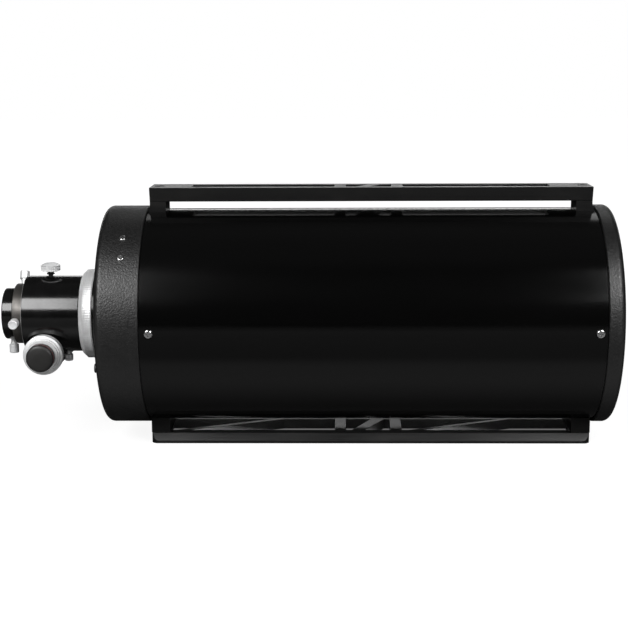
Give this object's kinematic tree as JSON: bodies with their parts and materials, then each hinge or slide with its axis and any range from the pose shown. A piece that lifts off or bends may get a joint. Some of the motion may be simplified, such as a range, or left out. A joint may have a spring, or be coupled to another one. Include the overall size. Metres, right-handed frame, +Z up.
{
  "type": "cassegrain telescope tube",
  "caption": "Two-mirror Cassegrain telescope tube with a rear Crayford focuser and dovetail rails above and below; gathers light and focuses it behind the main mirror.",
  "frame": {"origin": "centre of the lower rail's bottom face", "axes": "+X towards the front opening, focuser at -X, +Z up, optical axis parallel to X at z 0.136 m"},
  "size_m": [0.6508, 0.2344, 0.2745],
  "materials": {
    "tube_paint": "smooth gloss black paint",
    "cell_paint": "black wrinkle paint on cast aluminium",
    "rail_black": "satin black anodised",
    "inner_black": "flat black",
    "screw_black": "black oxide steel",
    "screw_steel": "bright plated steel",
    "focuser_black": "gloss black anodised",
    "focuser_satin": "satin dark grey anodised",
    "silver": "clear anodised, turned and knurled",
    "knob_black": "gloss black anodised",
    "bush_black": "acetal bush",
    "brass": "bare brass",
    "mirror_glass": "aluminised glass",
    "cork": "cork pad",
    "spring_steel": "spring steel",
    "bearing_steel": "polished bearing steel"
  },
  "bodies": {
    "tube_assembly": {"main_tube": "tube_paint", "rear_cell": "cell_paint", "front_ring": "cell_paint", "side_screws_rear": "screw_steel", "side_screws_front": "screw_steel", "finder_screws": "screw_steel", "baffle_rings": "inner_black", "top_rail": "rail_black", "bottom_rail": "rail_black", "top_foot_rear": "rail_black", "top_foot_front": "rail_black", "bottom_foot_rear": "rail_black", "bottom_foot_front": "rail_black", "top_rail_screws": "screw_black", "bottom_rail_screws": "screw_black", "pull_screws": "screw_steel", "push_screws": "screw_black", "carrier_springs": "spring_steel", "spider": "inner_black", "secondary_screws": "screw_black", "secondary_centre_bolt": "screw_black", "focuser_ring": "silver", "adapter_flange": "focuser_black"},
    "primary_seat": {"primary_seat_ring": "bearing_steel"},
    "primary_cell": {"primary_carrier": "inner_black", "primary_mirror": "mirror_glass", "mirror_pad": "cork", "mirror_retainer": "inner_black", "primary_baffle": "inner_black"},
    "secondary_seat": {"secondary_washer": "bearing_steel"},
    "secondary_cell": {"secondary_holder": "inner_black", "secondary_mirror": "mirror_glass", "secondary_shade": "inner_black"},
    "focuser": {"focuser_body": "focuser_black", "roller_pins": "bearing_steel", "pinion_block": "focuser_black", "pinion_bushes": "bush_black", "block_screws": "screw_black"},
    "drawtube": {"drawtube": "silver", "drawtube_rail": "bearing_steel", "clamp_2in": "focuser_satin", "clamp_brass_ring": "brass"},
    "coarse_focus": {"pinion_shaft": "bearing_steel", "coarse_knob_left": "silver", "coarse_knob_right": "silver", "knob_cap_right": "knob_black", "reducer_hub": "knob_black"},
    "fine_focus": {"fine_knob": "knob_black"},
    "lock_screw": {"lock_thumbscrew": "silver"},
    "tension_screw": {"tension_screw": "silver"},
    "clamp_screw_1": {"clamp_thumbscrew_1": "silver"},
    "clamp_screw_2": {"clamp_thumbscrew_2": "silver"},
    "clamp_screw_3": {"clamp_thumbscrew_3": "silver"},
    "eyepiece_adapter": {"eyepiece_adapter": "focuser_black", "eyepiece_brass_ring": "brass"},
    "eyepiece_screw": {"eyepiece_thumbscrew": "silver"},
    "roller_1": {"roller_1": "bearing_steel"},
    "roller_2": {"roller_2": "bearing_steel"},
    "roller_3": {"roller_3": "bearing_steel"},
    "roller_4": {"roller_4": "bearing_steel"}
  },
  "joints": [
    {"name": "primary_tilt_y", "type": "hinge", "parent": "tube_assembly", "child": "primary_seat", "pos_m": [-0.27, 0, 0.136], "axis": [0, 1, 0], "range_deg": [-0.4, 0.4]},
    {"name": "primary_tilt_z", "type": "hinge", "parent": "primary_seat", "child": "primary_cell", "pos_m": [-0.27, 0, 0.136], "axis": [0, 0, 1], "range_deg": [-0.4, 0.4]},
    {"name": "secondary_tilt_y", "type": "hinge", "parent": "tube_assembly", "child": "secondary_seat", "pos_m": [0.206, 0, 0.136], "axis": [0, 1, 0], "range_deg": [-0.8, 0.8]},
    {"name": "secondary_tilt_z", "type": "hinge", "parent": "secondary_seat", "child": "secondary_cell", "pos_m": [0.206, 0, 0.136], "axis": [0, 0, 1], "range_deg": [-0.8, 0.8]},
    {"name": "focuser_turn", "type": "hinge", "parent": "tube_assembly", "child": "focuser", "pos_m": [-0.305, 0, 0.136], "axis": [1, 0, 0], "continuous": true},
    {"name": "drawtube_slide", "type": "slide", "parent": "focuser", "child": "drawtube", "axis": [-1, 0, 0], "range_m": [0, 0.05]},
    {"name": "coarse_knob_turn", "type": "hinge", "parent": "focuser", "child": "coarse_focus", "pos_m": [-0.3484, 0, 0.099], "axis": [0, -1, 0], "range_deg": [0, 954.9]},
    {"name": "fine_knob_turn", "type": "hinge", "parent": "focuser", "child": "fine_focus", "pos_m": [-0.3484, 0, 0.099], "axis": [0, -1, 0], "range_deg": [0, 9550]},
    {"name": "lock_screw_turn", "type": "hinge", "parent": "focuser", "child": "lock_screw", "pos_m": [-0.346, 0, 0.177], "axis": [0, 0, 1], "range_deg": [0, 720]},
    {"name": "tension_screw_turn", "type": "hinge", "parent": "focuser", "child": "tension_screw", "pos_m": [-0.3275, -0.01, 0.095], "axis": [0, 0, -1], "range_deg": [0, 720]},
    {"name": "eyepiece_adapter_slide", "type": "slide", "parent": "drawtube", "child": "eyepiece_adapter", "axis": [-1, 0, 0], "range_m": [0, 0.022]},
    {"name": "eyepiece_screw_turn", "type": "hinge", "parent": "eyepiece_adapter", "child": "eyepiece_screw", "pos_m": [-0.3893, 0, 0.1083], "axis": [0, 0, -1], "range_deg": [0, 720]},
    {"name": "clamp_screw_1_turn", "type": "hinge", "parent": "drawtube", "child": "clamp_screw_1", "pos_m": [-0.3788, 0.01429, 0.1653], "axis": [0, 0.4384, 0.8988], "range_deg": [0, 720]},
    {"name": "clamp_screw_2_turn", "type": "hinge", "parent": "drawtube", "child": "clamp_screw_2", "pos_m": [-0.3788, -0.03252, 0.13373], "axis": [0, -0.9976, -0.0698], "range_deg": [0, 720]},
    {"name": "clamp_screw_3_turn", "type": "hinge", "parent": "drawtube", "child": "clamp_screw_3", "pos_m": [-0.3788, 0.01823, 0.10897], "axis": [0, 0.5592, -0.829], "range_deg": [0, 720]},
    {"name": "roller_1_turn", "type": "hinge", "parent": "focuser", "child": "roller_1", "pos_m": [-0.3615, 0.02192, 0.16405], "axis": [0, 0.788, -0.6157], "range_deg": [0, 720]},
    {"name": "roller_2_turn", "type": "hinge", "parent": "focuser", "child": "roller_2", "pos_m": [-0.3615, -0.02192, 0.16405], "axis": [0, 0.788, 0.6157], "range_deg": [0, 720]},
    {"name": "roller_3_turn", "type": "hinge", "parent": "focuser", "child": "roller_3", "pos_m": [-0.324, 0.02192, 0.16405], "axis": [0, 0.788, -0.6157], "range_deg": [0, 720]},
    {"name": "roller_4_turn", "type": "hinge", "parent": "focuser", "child": "roller_4", "pos_m": [-0.324, -0.02192, 0.16405], "axis": [0, 0.788, 0.6157], "range_deg": [0, 720]}
  ],
  "couplings": [
    {"joint": "drawtube_slide", "follows": "coarse_knob_turn", "m_per_rad": 0.003},
    {"joint": "fine_knob_turn", "follows": "coarse_knob_turn", "ratio": 10},
    {"joint": "roller_1_turn", "follows": "coarse_knob_turn", "ratio": 0.75},
    {"joint": "roller_2_turn", "follows": "coarse_knob_turn", "ratio": 0.75},
    {"joint": "roller_3_turn", "follows": "coarse_knob_turn", "ratio": 0.75},
    {"joint": "roller_4_turn", "follows": "coarse_knob_turn", "ratio": 0.75}
  ]
}
